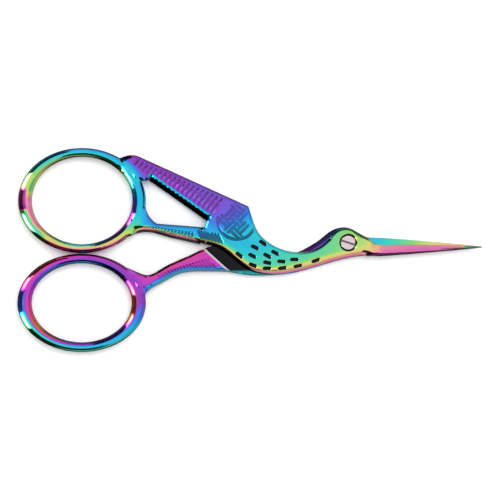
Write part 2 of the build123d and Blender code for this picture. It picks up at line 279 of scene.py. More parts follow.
def wing_ribs(x, y):
    """How deep each point lies in the ribs of the wing and the tail, 0 to 1."""
    deepest = np.zeros(len(x))
    aim_x, aim_y = WING_RIBS["aim"]
    for index in range(WING_RIBS["count"]):
        foot_x = WING_RIBS["foot"][0] + WING_RIBS["step"][0] * index
        foot_y = WING_RIBS["foot"][1] + WING_RIBS["step"][1] * index
        length = np.interp(foot_x, *zip(*WING_RIB_LENGTHS)) * MM
        along = (x - foot_x * MM) * aim_x + (y - foot_y * MM) * aim_y
        past = np.maximum(np.maximum(-along, along - length), 0)
        across = np.hypot((x - foot_x * MM) * aim_y - (y - foot_y * MM) * aim_x, past)
        deepest = np.maximum(deepest, 1 - smooth_between(GROOVE_FLAT, GROOVE_FLAT + RIB_RUN_OUT, across))
    return deepest


def run_out_bevel(mesh):
    """Lets the belly's bevel run out along the blade instead of stopping short at its root."""
    points = points_of(mesh)
    x, y, z = points.T
    left = 1 - smooth_between(BEVEL_END["x"] * MM, BEVEL_END["gone"] * MM, x)
    drop = np.clip((BEVEL_END["top"] * MM - y) / (BEVEL_END["width"] * MM), 0, 1) * BEVEL_END["drop"] * MM
    here = (x > BEVEL_END["start"] * MM) & (y < BEVEL_END["top"] * MM) & (z > PARTING)
    points[:, 2] = np.where(here, np.minimum(z, FRONT_TOP - drop * left), z)
    move_points(mesh, points)


def crown(mesh, gaps, sheer_gaps):
    """Lets the flat faces fall away towards their outlines, as on a polished casting."""
    points = points_of(mesh)
    x, y, z = points.T
    fall = CROWN_DROP * (1 - gaps / CROWN_WIDTH) ** 2
    fall += EASE_DROP * (1 - np.minimum(sheer_gaps / EASE_WIDTH, 1)) ** 2
    fall *= 1 - smooth_between(BLADE_START, BLADE_FULL, x)
    upper = np.clip((z - PARTING - 0.1 * MM) / (FRONT_TOP - PARTING), 0, 1)
    lower = np.clip((PARTING - 0.1 * MM - z) / PARTING, 0, 1)
    points[:, 2] = z - fall * upper + fall * lower
    move_points(mesh, points)


def across_band(ring, x, y):
    """Where points lie across a ring's band: -1 at its inner edge, 0 in the middle, 1 at its outer edge."""
    east = x - ring["x"]
    north = y - ring["y"]
    reach = np.maximum(np.hypot(east, north), 1e-9)
    cosine = east / reach
    sine = north / reach
    outer = 1 / np.hypot(cosine / ring["half"][0], sine / ring["half"][1])
    hole = (ring["half"][0] - ring["band"][0], ring["half"][1] - ring["band"][1])
    inner = 1 / np.hypot(cosine / hole[0], sine / hole[1])
    return (reach - (outer + inner) / 2) / ((outer - inner) / 2)


def round_ring(mesh, ring, solid):
    """Gives a finger ring a full round section, except where the leg or the wing grows out of it."""
    points = points_of(mesh)
    x, y, z = points.T
    across = across_band(ring, x, y)
    turns = np.radians(np.arange(0, 360, 3))
    held = []
    for turn in turns:
        start = Vector((
            ring["x"] + (ring["half"][0] + 0.9 * MM) * math.cos(turn),
            ring["y"] + (ring["half"][1] + 0.9 * MM) * math.sin(turn),
            2 * FRONT_TOP,
        ))
        held.append(0.0 if solid.ray_cast(start, Vector((0, 0, -1)))[0] is None else 1.0)
    held = np.array(held)
    held = (held + np.roll(held, 1) + np.roll(held, -1) + np.roll(held, 2) + np.roll(held, -2)) / 5
    turn = np.arctan2((y - ring["y"]) / ring["half"][1], (x - ring["x"]) / ring["half"][0]) % (2 * math.pi)
    held_here = np.interp(turn, np.append(turns, 2 * math.pi), np.append(held, held[0]))
    inside = 1 - smooth_between(1.0, 1.1, across)
    fade = np.where(across > 0, 1 - held_here, 1.0) * inside
    across = np.clip(np.abs(across), 0, 1)
    height = np.minimum(np.abs(z - RING_MIDDLE), RING_TOP * np.sqrt(1 - RING_ROUND * across**2))
    points[:, 2] = z + (RING_MIDDLE + np.sign(z - RING_MIDDLE) * height - z) * fade
    move_points(mesh, points)


def write_mask(mesh, name, values):
    """Stores one value a vertex, for the materials."""
    layer = mesh.attributes.new(name, "FLOAT", "POINT")
    layer.data.foreach_set("value", values.astype(np.float32))


def blend_places(piece, ring, places):
    """Smooths the ring and the listed places."""
    x, y, z = points_of(piece.data).T
    across = across_band(ring, x, y)
    rings = 1 - smooth_between(1.2, 1.7, np.abs(across))
    spots = np.zeros(len(x))
    for place_x, place_y, radius in places:
        away = np.hypot(x - place_x * MM, y - place_y * MM)
        spots = np.maximum(spots, 1 - smooth_between(0.6 * radius * MM, radius * MM, away))
    for weight, rounds in ((rings, RING_ROUNDS), (spots, SPOT_ROUNDS)):
        group = piece.vertex_groups.new(name="blended")
        for level in range(1, 6):
            chosen = np.flatnonzero(np.round(weight * 5) == level)
            group.add(chosen.tolist(), level / 5, "REPLACE")
        with_modifier(piece, "SMOOTH", factor=0.5, iterations=rounds, vertex_group="blended")
        piece.vertex_groups.clear()


def casting(node, name, body, ring, places, triangles):
    """One half of the scissors as a soft casting around its construction form."""
    form = sharp_form(node)
    form.faces.ensure_lookup_table()
    walls = tree_of(form, is_wall)
    sheer = tree_of(form, is_sheer)
    bevels = tree_of(form, lambda face: is_bevel(face, ring))
    floors = tree_of(form, is_carved_floor)
    solid = BVHTree.FromBMesh(form)
    mesh = bpy.data.meshes.new(name)
    form.to_mesh(mesh)
    form.free()
    piece = bpy.data.objects.new(name, mesh)
    bpy.context.scene.collection.objects.link(piece)
    with_modifier(piece, "REMESH", mode="VOXEL", voxel_size=VOXEL, adaptivity=0.0, use_smooth_shade=True)
    points = points_of(piece.data)
    gaps = distances(walls, points, CROWN_WIDTH)
    carved = soften_carving(piece.data, floors, gaps)
    write_mask(piece.data, "carving", carved)
    write_mask(piece.data, "bevel", 1 - distances(bevels, points, BEVEL_REACH) / BEVEL_REACH)
    # The rear half's deck gets a mask for the painted shade near the front half's walls
    if body == "rear":
        other = sharp_form("front_half")
        over = tree_of(other, is_front_wall)
        other.free()
        write_mask(piece.data, "painted_shade_by_front", 1 - distances(over, points, PAINTED_SHADE_REACH) / PAINTED_SHADE_REACH)
    sheer_gaps = distances(sheer, points, EASE_WIDTH)
    # A mask for painted dark lines along the sheer outlines, standing in for dark reflections
    write_mask(piece.data, "rim", 1 - distances(sheer, points, RIM_REACH) / RIM_REACH)
    crown(piece.data, gaps, sheer_gaps)
    if body == "front":
        run_out_bevel(piece.data)
    round_ring(piece.data, ring, solid)
    before = points_of(piece.data)
    with_modifier(piece, "SMOOTH", factor=0.5, iterations=SKIN_ROUNDS)
    wear_and_highlight = np.einsum("ij,ij->i", before - points_of(piece.data), normals_of(piece.data))
    write_mask(piece.data, "edge", smooth_between(*EDGE_WEAR, wear_and_highlight))
    blend_places(piece, ring, places)
    sides = sum(len(face.vertices) - 2 for face in piece.data.polygons)
    if sides > triangles:
        with_modifier(piece, "DECIMATE", ratio=triangles / sides)
    for polygon in piece.data.polygons:
        polygon.use_smooth = True
    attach(piece, body)
    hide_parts(node)
    return piece


# Materials

def new_material(name):
    """An empty node material with its shader and its output."""
    material = bpy.data.materials.new(name)
    material.use_nodes = True
    tree = material.node_tree
    tree.nodes.clear()
    shader = tree.nodes.new("ShaderNodeBsdfPrincipled")
    output = tree.nodes.new("ShaderNodeOutputMaterial")
    tree.links.new(shader.outputs["BSDF"], output.inputs["Surface"])
    return material, tree, shader


def add_node(tree, kind, inputs=None, **settings):
    """A node with its settings, and with each input either linked or set to a value."""
    node = tree.nodes.new(kind)
    for name, value in settings.items():
        setattr(node, name, value)
    for name, value in (inputs or {}).items():
        if isinstance(value, bpy.types.NodeSocket):
            tree.links.new(value, node.inputs[name])
        else:
            node.inputs[name].default_value = value
    return node


def calculate(tree, operation, first, second=0.0, third=0.0, clamp=False):
    """The result of one Math node."""
    node = add_node(tree, "ShaderNodeMath", {0: first, 1: second, 2: third}, operation=operation)
    node.use_clamp = clamp
    return node.outputs[0]


def product(tree, *values):
    """The product of all the values."""
    result = values[0]
    for value in values[1:]:
        result = calculate(tree, "MULTIPLY", result, value)
    return result


def square_away(tree, x, y, centre):
    """The square of the distance from a place."""
    east = calculate(tree, "POWER", calculate(tree, "SUBTRACT", x, centre[0]), 2.0)
    north = calculate(tree, "POWER", calculate(tree, "SUBTRACT", y, centre[1]), 2.0)
    return calculate(tree, "ADD", east, north)


def blend_value(tree, share, first, second):
    """A value between first and second."""
    node = add_node(tree, "ShaderNodeMix", {"Factor": share, "A": first, "B": second}, data_type="FLOAT")
    return node.outputs["Result"]


def blend_colour(tree, share, first, second, how="MIX"):
    """A colour between first and second."""
    node = add_node(tree, "ShaderNodeMix", {"Factor": share}, data_type="RGBA", blend_type=how)
    for index, value in ((6, first), (7, second)):
        if isinstance(value, bpy.types.NodeSocket):
            tree.links.new(value, node.inputs[index])
        else:
            node.inputs[index].default_value = value
    return node.outputs[2]


def ease(tree, value, low, high, to_low=0.0, to_high=1.0):
    """Moves a value from one range to another along an easy slope, held at its ends."""
    inputs = {"Value": value, "From Min": low, "From Max": high, "To Min": to_low, "To Max": to_high}
    return add_node(tree, "ShaderNodeMapRange", inputs, interpolation_type="SMOOTHSTEP").outputs["Result"]


def curve_along(tree, value, stops, scale=1.0):
    """A value that follows given stops along another one; scale is the stops' unit."""
    low = stops[0][0]
    high = stops[-1][0]
    share = ease_free(tree, value, low, high)
    ramp = add_node(tree, "ShaderNodeValToRGB", {"Fac": share})
    fill_ramp(ramp, [((place - low) / (high - low), [level / scale] * 3 + [1.0]) for place, level in stops])
    if scale == 1.0:
        return ramp.outputs["Color"]
    return calculate(tree, "MULTIPLY", ramp.outputs["Color"], scale)


def ease_free(tree, value, low, high):
    """The share of the way from low to high, held at its ends."""
    inputs = {"Value": value, "From Min": low, "From Max": high}
    return add_node(tree, "ShaderNodeMapRange", inputs).outputs["Result"]


def fill_ramp(ramp, stops):
    """Sets a colour ramp's stops, from place and colour of each."""
    elements = ramp.color_ramp.elements
    while len(elements) < len(stops):
        elements.new(1.0)
    for element, (place, colour) in zip(elements, stops):
        element.position = place
        element.color = colour


def new_group(name, inputs, outputs):
    """A node group with float or colour sockets: (kind, name, default) in, (kind, name) out."""
    tree = bpy.data.node_groups.new(name, "ShaderNodeTree")
    for kind, socket, default in inputs:
        made = tree.interface.new_socket(name=socket, in_out="INPUT", socket_type="NodeSocket" + kind)
        made.default_value = default
    for kind, socket in outputs:
        tree.interface.new_socket(name=socket, in_out="OUTPUT", socket_type="NodeSocket" + kind)
    return tree, tree.nodes.new("NodeGroupInput"), tree.nodes.new("NodeGroupOutput")


# Interference colours in the order in which the plated film grows thicker
FILM_COLOURS = [
    (0.00, (0.86, 0.66, 0.30)),
    (0.07, (0.80, 0.42, 0.26)),
    (0.15, (0.84, 0.28, 0.60)),
    (0.22, (0.78, 0.24, 0.80)),
    (0.30, (0.56, 0.25, 0.74)),
    (0.38, (0.42, 0.38, 0.88)),
    (0.46, (0.22, 0.52, 0.92)),
    (0.54, (0.12, 0.72, 0.90)),
    (0.61, (0.22, 0.82, 0.80)),
    (0.68, (0.36, 0.84, 0.66)),
    (0.75, (0.56, 0.86, 0.46)),
    (0.81, (0.84, 0.87, 0.46)),
    (0.86, (0.95, 0.72, 0.52)),
    (0.91, (0.95, 0.54, 0.72)),
    (0.95, (0.90, 0.40, 0.74)),
    (1.00, (0.45, 0.15, 0.42)),
]

# Film on the flat faces along X, in millimetres
FRONT_FILM = [
    (-62.0, 0.50), (-52.0, 0.49), (-44.0, 0.51), (-34.0, 0.53), (-26.0, 0.55), (-19.0, 0.59),
    (-11.0, 0.66), (-4.0, 0.72), (0.5, 0.755), (4.0, 0.79), (6.5, 0.86), (9.0, 0.905), (14.0, 0.91),
    (26.5, 0.93), (28.5, 0.90), (30.0, 0.62), (34.0, 0.56),
]
REAR_FILM = [
    (-62.0, 0.24), (-53.0, 0.20), (-48.0, 0.15), (-38.0, 0.17), (-28.0, 0.21), (-23.0, 0.40),
    (-18.0, 0.55), (-14.0, 0.28), (-9.0, 0.33), (-5.0, 0.40), (-2.0, 0.60), (1.0, 0.62), (5.0, 0.57),
    (9.0, 0.60), (13.0, 0.67), (17.0, 0.74), (21.0, 0.80), (25.0, 0.85), (29.0, 0.88), (34.0, 0.90),
]

# Film round each finger ring, by the turn in degrees from the beak's side
FRONT_RING_FILM = [
    (0, 0.54), (40, 0.57), (90, 0.60), (125, 0.62), (140, 0.68), (150, 0.79), (163, 0.80), (168, 0.97),
    (190, 0.99), (193, 0.68), (213, 0.68), (222, 0.64), (235, 0.86), (280, 0.88), (305, 0.84),
    (322, 0.76), (338, 0.60), (360, 0.54),
]
FRONT_RING_INSIDE = [
    (0, 0.46), (20, 0.62), (45, 0.68), (90, 0.70), (130, 0.73), (165, 0.70), (178, 0.90), (215, 0.96),
    (240, 0.88), (262, 0.68), (290, 0.62), (310, 0.34), (325, 0.24), (345, 0.30), (360, 0.46),
]
REAR_RING_FILM = [
    (0, 0.31), (20, 0.25), (45, 0.31), (70, 0.32), (90, 0.29), (110, 0.22), (132, 0.14), (148, 0.16),
    (160, 0.20), (168, 0.40), (190, 0.44), (196, 0.66), (214, 0.66), (240, 0.60), (270, 0.57), (300, 0.55),
    (328, 0.51), (345, 0.42), (360, 0.31),
]
REAR_RING_INSIDE = [
    (0, 0.04), (25, 0.10), (50, 0.36), (90, 0.42), (130, 0.31), (160, 0.23), (190, 0.17), (215, 0.12),
    (240, 0.22), (262, 0.38), (290, 0.42), (318, 0.40), (335, 0.12), (360, 0.04),
]

# The wing's thinner film along X, and where it begins along Y: its foot, and how far it takes to come in full
WING_FILM = [
    (-58.0, 0.32), (-50.0, 0.31), (-42.0, 0.32), (-34.0, 0.34), (-29.0, 0.38), (-25.5, 0.42), (-23.0, 0.50),
]
WING_FOOT = [(-60.0, 14.0), (-49.5, 13.0), (-46.0, 6.0), (-36.0, 4.6), (-32.0, 0.5), (-22.0, 1.5)]
WING_RISE = [(-60.0, 1.5), (-40.0, 2.0), (-32.0, 8.0), (-22.0, 9.0)]
WING_SCALE = 16.0

# The height below which the front half's bevels are painted dark, standing in for a dark reflection, along X
DARK_BELOW = [(-60.0, 3.0), (-38.0, 3.1), (-33.0, 3.5), (-22.0, 3.4), (-18.0, 2.4), (8.0, 2.3)]
DARK_SCALE = 4.0

# Film that single places are given: the belly's edge from its top to its foot, the painted highlight line
# along the window's edge, the rear leg's edge from its top to its foot, and the deck under the front half
BELLY_EDGE = (0.83, 0.90)
WINDOW_HIGHLIGHT_FILM = 0.55
LEG_EDGE = (0.47, 0.56)
DECK_FILM = 0.58

# Screen colours of the dark that paints shade and dark reflections into the coating, of edges with wear and
# the painted highlight on the rear half's step, and of bare steel and the painted shade in its slot
PAINTED_DARK = (0.04, 0.05, 0.08)
PALE_WEAR_AND_HIGHLIGHT = (0.86, 0.86, 0.88)
STEEL_TONES = ((0.84, 0.77, 0.80), (0.93, 0.86, 0.88))
SLOT_SHADE = (0.16, 0.14, 0.16)


def plating_group():
    """The colour of the plated film from its thickness and the slope of the face, darkened as painted shade
    in the carving, as a painted dark reflection on steep faces and by the painted shade passed in, and paled
    on edges with wear and the painted highlight.
    """
    inputs = [
        ("Float", "Film", 0.5),
        ("Float", "Slope down", 0.0),
        ("Float", "Facing up", 1.0),
        ("Float", "Carving", 0.0),
        ("Float", "Carving dark", 0.5),
        ("Float", "Edge", 0.0),
        ("Float", "Slope share", 1.0),
        ("Float", "Shade", 0.0),
        ("Float", "Steep dark", 0.93),
        ("Float", "Carving shift", -0.07),
        ("Float", "Up share", 0.04),
    ]
    tree, given, out = new_group("plated_film", inputs, [("Color", "Color")])
    down = calculate(tree, "MAXIMUM", given.outputs["Slope down"], 0.0)
    up = calculate(tree, "MINIMUM", given.outputs["Slope down"], 0.0)
    thicker = ease(tree, down, 0.0, 0.75, 0.0, 0.36)
    film = calculate(tree, "MULTIPLY_ADD", thicker, given.outputs["Slope share"], given.outputs["Film"])
    film = calculate(tree, "MULTIPLY_ADD", up, given.outputs["Up share"], film)
    film = calculate(tree, "MULTIPLY_ADD", given.outputs["Carving"], given.outputs["Carving shift"], film)
    film = calculate(tree, "MAXIMUM", film, 0.0, clamp=True)
    ramp = add_node(tree, "ShaderNodeValToRGB", {"Fac": film})
    fill_ramp(ramp, [(place, from_srgb(*colour)) for place, colour in FILM_COLOURS])
    painted_dark = from_srgb(*PAINTED_DARK)
    # Carving is painted dark as shade in its recesses
    deep = ease(tree, given.outputs["Carving"], 0.0, 0.7)
    deep = calculate(tree, "MULTIPLY", deep, given.outputs["Carving dark"])
    colour = blend_colour(tree, deep, ramp.outputs["Color"], painted_dark)
    # Steep faces are painted dark as a dark reflection, and the painted shade passed in is laid on top
    steep = ease(tree, given.outputs["Facing up"], 0.70, 0.40)
    steep = calculate(tree, "MULTIPLY", steep, given.outputs["Steep dark"])
    shade = calculate(tree, "MAXIMUM", steep, given.outputs["Shade"])
    colour = blend_colour(tree, shade, colour, painted_dark)
    # Edges with wear pale towards bare steel, and the same input carries the painted highlight on the rear
    # half's step
    rub_and_highlight = calculate(tree, "MULTIPLY", given.outputs["Edge"], 0.8)
    colour = blend_colour(tree, rub_and_highlight, colour, from_srgb(*PALE_WEAR_AND_HIGHLIGHT))
    tree.links.new(colour, out.inputs["Color"])
    return tree


def polish_group():
    """Roughness and height of polished metal: long faint scratches, soft ripple and dull spots."""
    inputs = [("Float", "Roughness", 0.15), ("Float", "Scratches", 0.05), ("Float", "Carving", 0.0)]
    tree, given, out = new_group("hand_polish", inputs, [("Float", "Roughness"), ("Float", "Height")])
    place = tree.nodes.new("ShaderNodeTexCoord").outputs["Object"]
    draw = {"Vector": place, "Rotation": (0, 0, 0.35), "Scale": (300, 9000, 9000)}
    drawn = add_node(tree, "ShaderNodeMapping", draw)
    lines = add_node(tree, "ShaderNodeTexNoise", {"Vector": drawn.outputs[0], "Scale": 1.0, "Detail": 2.0})
    spots = add_node(tree, "ShaderNodeTexNoise", {"Vector": place, "Scale": 420.0, "Detail": 4.0})
    ripple = add_node(tree, "ShaderNodeTexNoise", {"Vector": place, "Scale": 160.0, "Detail": 1.0})
    scratch = ease(tree, lines.outputs["Fac"], 0.62, 0.74)
    fine = calculate(tree, "MULTIPLY", scratch, given.outputs["Scratches"])
    dull = ease(tree, spots.outputs["Fac"], 0.45, 0.75, 0.0, 0.07)
    rough = calculate(tree, "ADD", given.outputs["Roughness"], dull)
    rough = calculate(tree, "ADD", rough, fine)
    rough = calculate(tree, "MULTIPLY_ADD", given.outputs["Carving"], 0.25, rough)
    tree.links.new(rough, out.inputs["Roughness"])
    sunk = calculate(tree, "MULTIPLY", fine, -0.4)
    height = calculate(tree, "MULTIPLY_ADD", ripple.outputs["Fac"], 0.5, sunk)
    tree.links.new(height, out.inputs["Height"])
    return tree


PLATED_FILM = plating_group()
HAND_POLISH = polish_group()


def finish_metal(tree, shader, roughness, scratches, carving, bump):
    """Puts the hand polish on a metal."""
    polish = add_node(tree, "ShaderNodeGroup", node_tree=HAND_POLISH)
    polish.inputs["Roughness"].default_value = roughness
    polish.inputs["Scratches"].default_value = scratches
    if carving is not None:
        tree.links.new(carving, polish.inputs["Carving"])
    tree.links.new(polish.outputs["Roughness"], shader.inputs["Roughness"])
    height = polish.outputs["Height"]
    relief = add_node(tree, "ShaderNodeBump", {"Strength": bump, "Distance": 0.02 * MM, "Height": height})
    tree.links.new(relief.outputs["Normal"], shader.inputs["Normal"])
    shader.inputs["Metallic"].default_value = 1.0


def ring_place(tree, place, ring):
    """How far out a point lies from a ring's centre, 1 at its outer edge, and its turn in degrees."""
    east = calculate(tree, "SUBTRACT", place.outputs["X"], ring["x"] / MM)
    north = calculate(tree, "SUBTRACT", place.outputs["Y"], ring["y"] / MM)
    wide = calculate(tree, "DIVIDE", east, ring["half"][0] / MM)
    tall = calculate(tree, "DIVIDE", north, ring["half"][1] / MM)
    square = calculate(tree, "MULTIPLY_ADD", wide, wide, calculate(tree, "MULTIPLY", tall, tall))
    turn = calculate(tree, "MULTIPLY", calculate(tree, "ARCTAN2", tall, wide), 180 / math.pi)
    return calculate(tree, "SQRT", square), calculate(tree, "FLOORED_MODULO", turn, 360.0)


def attribute(tree, name):
    """A value that the casting's vertices carry."""
    return add_node(tree, "ShaderNodeAttribute", attribute_name=name).outputs["Fac"]


def front_film(tree, x, y, z, bevel):
    """Film of the front half's flat faces, bevels and blade, and its painted dark reflection on the bevels
    below a height, with the blade darkened towards its tip.
    """
    film = curve_along(tree, x, FRONT_FILM)
    belly = ease_free(tree, y, -1.0, -8.5)
    belly = calculate(tree, "MULTIPLY", belly, ease(tree, x, 0.0, -12.0))
    film = calculate(tree, "MULTIPLY_ADD", belly, 0.13, film)
    beak = calculate(tree, "MULTIPLY", ease_free(tree, y, -0.6, -2.4), ease(tree, x, 4.0, 8.0))
    film = calculate(tree, "MULTIPLY_ADD", beak, 0.04, film)
    foot = curve_along(tree, x, WING_FOOT, WING_SCALE)
    rise = curve_along(tree, x, WING_RISE, WING_SCALE)
    wing = calculate(tree, "DIVIDE", calculate(tree, "SUBTRACT", y, foot), rise)
    wing = calculate(tree, "MULTIPLY", ease(tree, wing, 0.0, 1.0), ease(tree, x, -16.0, -22.0))
    film = blend_value(tree, wing, film, curve_along(tree, x, WING_FILM))

    window_side = calculate(tree, "MULTIPLY", ease(tree, y, 4.2, 4.7), ease(tree, x, -33.0, -34.5))
    on_legs, on_body = ease(tree, bevel, 0.66, 0.97), ease(tree, bevel, 0.25, 0.97)
    near = blend_value(tree, ease(tree, x, -36.0, -27.0), on_legs, on_body)
    warm = blend_value(tree, ease(tree, z, 3.9, 2.7), *BELLY_EDGE)
    film = blend_value(tree, calculate(tree, "SUBTRACT", near, window_side, clamp=True), film, warm)
    # A painted highlight: a cyan line along the window's edge, standing in for the highlight on its rounded
    # edge
    window_highlight = calculate(tree, "MULTIPLY", ease(tree, bevel, 0.58, 0.84), window_side)
    film = blend_value(tree, window_highlight, film, WINDOW_HIGHLIGHT_FILM)

    # Bevels are painted dark below a height along X, standing in for a dark reflection
    on_bevel = ease(tree, bevel, 0.93, 0.97)
    start = curve_along(tree, x, DARK_BELOW, DARK_SCALE)
    start = blend_value(tree, window_side, start, 3.95)
    depth = calculate(tree, "SUBTRACT", start, z)
    shade = product(tree, on_bevel, ease(tree, depth, -0.1, 0.25), ease(tree, x, -53.8, -52.0))
    # The blade is darkened towards its tip
    tip = ease(tree, x, 27.5, 31.5, 0.0, 0.65)
    return film, calculate(tree, "MAXIMUM", shade, tip)


def rear_film(tree, x, y, z, bevel):
    """Film of the rear half's flat faces, bevels, deck and blade, with painted shade on the deck near the
    front half and on the neck strip beside it.
    """
    film = curve_along(tree, x, REAR_FILM)
    leg_edge = calculate(tree, "MULTIPLY", ease(tree, bevel, 0.45, 0.95), ease(tree, x, -17.0, -22.0))
    film = blend_value(tree, leg_edge, film, blend_value(tree, ease(tree, z, 3.9, 2.6), *LEG_EDGE))
    # The deck under the front half is painted dark as shade near the front half's walls and on its upper part
    deck = calculate(tree, "MULTIPLY", ease(tree, z, 2.6, 2.3), ease(tree, z, 1.2, 1.5))
    painted_shade_by_front = ease(tree, attribute(tree, "painted_shade_by_front"), 0.55, 0.66)
    dark = calculate(tree, "MULTIPLY", painted_shade_by_front, ease(tree, x, -24.5, -28.0, 0.45, 1.0))
    upper_deck = calculate(tree, "MULTIPLY", ease(tree, y, -7.7, -6.7), ease(tree, x, -20.0, -22.0))
    dark = calculate(tree, "MAXIMUM", dark, upper_deck)
    dark = calculate(tree, "MULTIPLY", dark, calculate(tree, "MULTIPLY", deck, ease(tree, x, -15.0, -18.0)))
    teal = calculate(tree, "MULTIPLY", deck, ease(tree, x, -12.0, -16.0))
    film = blend_value(tree, teal, film, DECK_FILM)
    # The neck strip beside the front half's neck is darkened as painted shade
    neck_reach = calculate(tree, "MULTIPLY", ease(tree, x, -15.0, -13.0), ease(tree, x, 5.0, 4.0))
    neck = calculate(tree, "MULTIPLY", neck_reach, ease(tree, x, -12.0, 0.0, 0.35, 0.75))
    return film, calculate(tree, "MAXIMUM", dark, neck)


def plated(name, front_side):
    """Rainbow plating of one half: its film along X and round its ring, thinner on the wing, with painted
    shade, painted dark reflections and a painted highlight in its colour.
    """
    material, tree, shader = new_material(name)
    coords = tree.nodes.new("ShaderNodeTexCoord")
    metres = coords.outputs["Object"]
    sized = add_node(tree, "ShaderNodeVectorMath", {0: metres, "Scale": 1 / MM}, operation="SCALE")
    place = add_node(tree, "ShaderNodeSeparateXYZ", {0: sized.outputs[0]})
    facing = add_node(tree, "ShaderNodeSeparateXYZ", {0: coords.outputs["Normal"]})
    x, y, z = place.outputs["X"], place.outputs["Y"], place.outputs["Z"]
    ring, ring_stops, inside_stops = (
        (FRONT_RING, FRONT_RING_FILM, FRONT_RING_INSIDE) if front_side else
        (REAR_RING, REAR_RING_FILM, REAR_RING_INSIDE)
    )
    out_of_ring, turn = ring_place(tree, place, ring)
    slope = attribute(tree, "bevel")
    film, shade = (front_film if front_side else rear_film)(tree, x, y, z, slope)
    band = ease(tree, out_of_ring, 1.12, 0.96)
    inside = ease(tree, out_of_ring, 0.895, 0.85)
    outside_film, inside_film = curve_along(tree, turn, ring_stops), curve_along(tree, turn, inside_stops)
    film = blend_value(tree, band, film, blend_value(tree, inside, outside_film, inside_film))
    drift = add_node(tree, "ShaderNodeTexNoise", {"Vector": metres, "Scale": 90.0, "Detail": 2.0})
    film = calculate(tree, "ADD", film, ease(tree, drift.outputs["Fac"], 0.3, 0.7, -0.018, 0.018))
    film = calculate(tree, "MAXIMUM", film, 0.02)
    carving = attribute(tree, "carving")
    edge = attribute(tree, "edge")
    bevel = ease(tree, slope, 0.86, 0.965)
    from_knot = square_away(tree, x, y, KNOT)
    knot_edge = [(KNOT[2] + margin) ** 2 for margin in (-0.1, 0.1)]
    feathers = product(
        tree,
        ease(tree, x, FEATHERS["start"], FEATHERS["start"] + 1.0),
        ease(tree, y, FEATHERS["top"], FEATHERS["top"] - 0.8),
        ease(tree, from_knot, *knot_edge),
    )
    blade = ease(tree, x, 4.5, 6.0)
    smooth_parts = calculate(tree, "MAXIMUM", band, ease(tree, slope, 0.60, 0.85))
    smooth_parts = calculate(tree, "MAXIMUM", smooth_parts, blade)
    # Steep faces are painted dark as a dark reflection, less where they face along X and on the bevels
    sideways = ease(tree, calculate(tree, "ABSOLUTE", facing.outputs["X"]), 0.45, 0.80, 1.0, 0.35)
    darkest = calculate(tree, "MULTIPLY", blend_value(tree, bevel, 0.93, 0.12), sideways)
    upward = calculate(tree, "ABSOLUTE", facing.outputs["Z"])
    # Painted dark lines along the sheer outlines, standing in for dark reflections
    rim = product(
        tree,
        ease(tree, attribute(tree, "rim"), 0.28, 0.48),
        ease(tree, upward, 0.10, 0.35),
        ease(tree, x, -14.0, -8.0, 0.30, 0.90),
        calculate(tree, "SUBTRACT", 1.0, band),
    )
    # Edges with wear pale towards bare steel
    wear_and_highlight = calculate(tree, "MULTIPLY", edge, 0.18)
    if front_side:
        root = square_away(tree, x, y, BLADE_ROOT)
        off_root = ease(tree, root, 1.5, 5.0)
        on_leg = calculate(tree, "MULTIPLY", ease(tree, y, 0.2, -0.6), ease(tree, x, -29.0, -30.5))
        outer_side = ease(tree, calculate(tree, "MULTIPLY_ADD", x, -0.022, y), -1.7, -2.0)
        outer_side = calculate(tree, "MULTIPLY", outer_side, off_root)
        rim = product(tree, rim, ease(tree, root, 1.5, 3.0), blend_value(tree, blade, 1.0, outer_side))
        darkest = product(tree, darkest, off_root, ease(tree, on_leg, 0.0, 1.0, 1.0, 0.5))
        # How dark the carving is painted as shade
        carving_dark = blend_value(tree, on_leg, ease(tree, y, 6.0, 1.0, 0.38, 0.72), 0.42)
    else:
        # A pale painted highlight along the step where the rear half passes under the front one, which also
        # lifts the painted dark there
        east = calculate(tree, "SUBTRACT", x, STEP["place"][0])
        east = calculate(tree, "MULTIPLY", east, STEP["across"][0])
        north = calculate(tree, "SUBTRACT", y, STEP["place"][1])
        past_step = calculate(tree, "MULTIPLY_ADD", north, STEP["across"][1], east)
        step = product(
            tree,
            ease(tree, calculate(tree, "ABSOLUTE", calculate(tree, "ADD", past_step, 0.22)), 0.55, 0.32),
            ease(tree, past_step, 0.02, -0.10),
            ease(tree, x, -36.5, -35.8),
            ease(tree, x, -29.0, -30.5),
        )
        rim = calculate(tree, "MULTIPLY", rim, calculate(tree, "SUBTRACT", 1.0, blade))
        wear_and_highlight = calculate(tree, "MAXIMUM", wear_and_highlight, step)
        darkest = calculate(tree, "MULTIPLY", darkest, calculate(tree, "SUBTRACT", 1.0, step))
